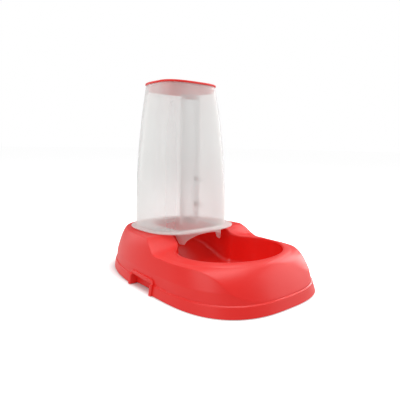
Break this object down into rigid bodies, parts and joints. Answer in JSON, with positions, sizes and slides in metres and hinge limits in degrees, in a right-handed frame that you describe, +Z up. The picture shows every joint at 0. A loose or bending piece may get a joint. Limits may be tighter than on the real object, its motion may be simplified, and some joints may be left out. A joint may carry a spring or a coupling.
{
  "type": "gravity pet and poultry dispenser",
  "caption": "Gravity dispenser with a red moulded base and bowl, a tapered see-through hopper with an arched outlet, an inner tube and a lift-off lid.",
  "frame": {"origin": "middle of the footprint on the ground", "axes": "+Z up, -Y towards the bowl end, +X to the right seen from the bowl end"},
  "size_m": [0.2056, 0.3, 0.2589],
  "materials": {
    "base_plastic": "satin moulded polypropylene, glossy inside the bowl",
    "hopper_plastic": "natural translucent polypropylene",
    "lid_plastic": "satin moulded polypropylene",
    "foot_rubber": "matte"
  },
  "bodies": {
    "base": {"base": "base_plastic", "foot_front_left": "foot_rubber", "foot_front_right": "foot_rubber", "foot_rear_left": "foot_rubber", "foot_rear_right": "foot_rubber"},
    "hopper": {"hopper": "hopper_plastic", "inner_tube": "hopper_plastic"},
    "lid": {"lid": "lid_plastic"}
  },
  "joints": [
    {"name": "hopper_lift", "type": "slide", "parent": "base", "child": "hopper", "axis": [0, 0, 1], "range_m": [0, 0.08]},
    {"name": "lid_lift", "type": "slide", "parent": "hopper", "child": "lid", "axis": [0, 0, 1], "range_m": [0, 0.04]}
  ]
}
